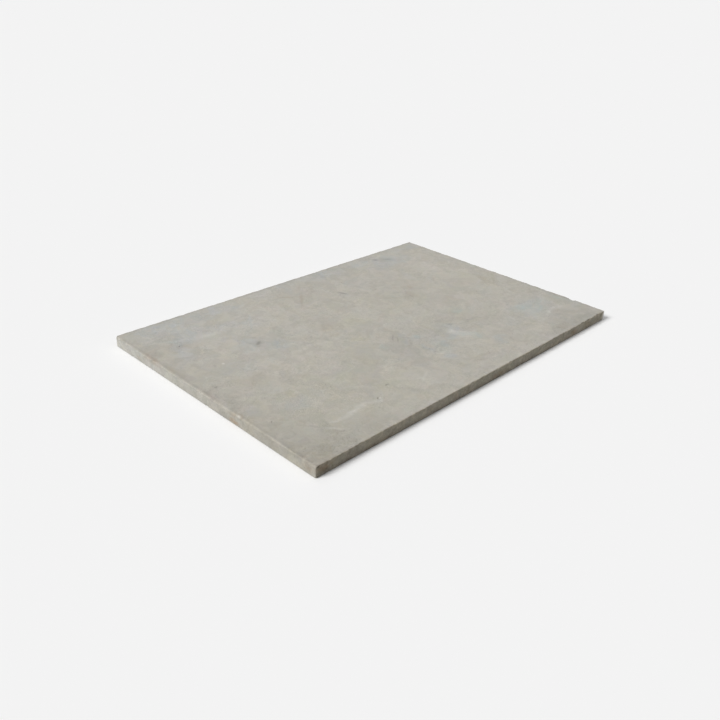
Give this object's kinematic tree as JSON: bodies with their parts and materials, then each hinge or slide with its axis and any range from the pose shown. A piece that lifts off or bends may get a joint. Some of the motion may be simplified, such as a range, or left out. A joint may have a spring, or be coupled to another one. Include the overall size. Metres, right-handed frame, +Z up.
{
  "type": "limestone tile",
  "caption": "Flat rectangular tile of sawn, honed limestone with worn arrises, knocked corners and small edge chips.",
  "frame": {"origin": "middle of the underside", "axes": "+X along the tile's length, +Y across its width, +Z up, out of its honed face"},
  "size_m": [0.6, 0.4, 0.015],
  "materials": {
    "limestone": "honed face, sawn sides"
  },
  "bodies": {
    "root": {"tile": "limestone"}
  },
  "joints": []
}
